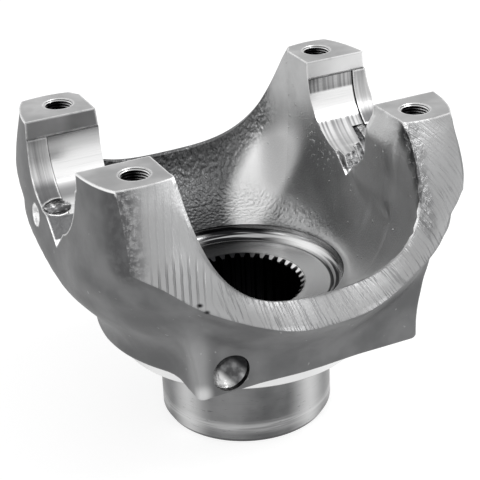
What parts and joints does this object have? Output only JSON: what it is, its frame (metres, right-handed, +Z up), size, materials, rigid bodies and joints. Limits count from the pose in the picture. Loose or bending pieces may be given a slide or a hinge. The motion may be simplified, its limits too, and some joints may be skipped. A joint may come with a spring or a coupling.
{
  "type": "forged half-round end yoke",
  "caption": "Forged driveshaft end yoke: a splined hub under a round bowl with two ears, each with a half-round bearing seat between tapped pads.",
  "frame": {"origin": "centre of the hub's end face, on the hub axis", "axes": "+Z up along the hub axis to the pads, +X along the axis of the two bearing seats, +Y across it"},
  "size_m": [0.1734, 0.1766, 0.148],
  "materials": {
    "forged_steel": "bare forged steel, satin, with bright milled pads, bored seats, turned hub and ground flash band"
  },
  "bodies": {
    "root": {"yoke": "forged_steel"}
  },
  "joints": []
}
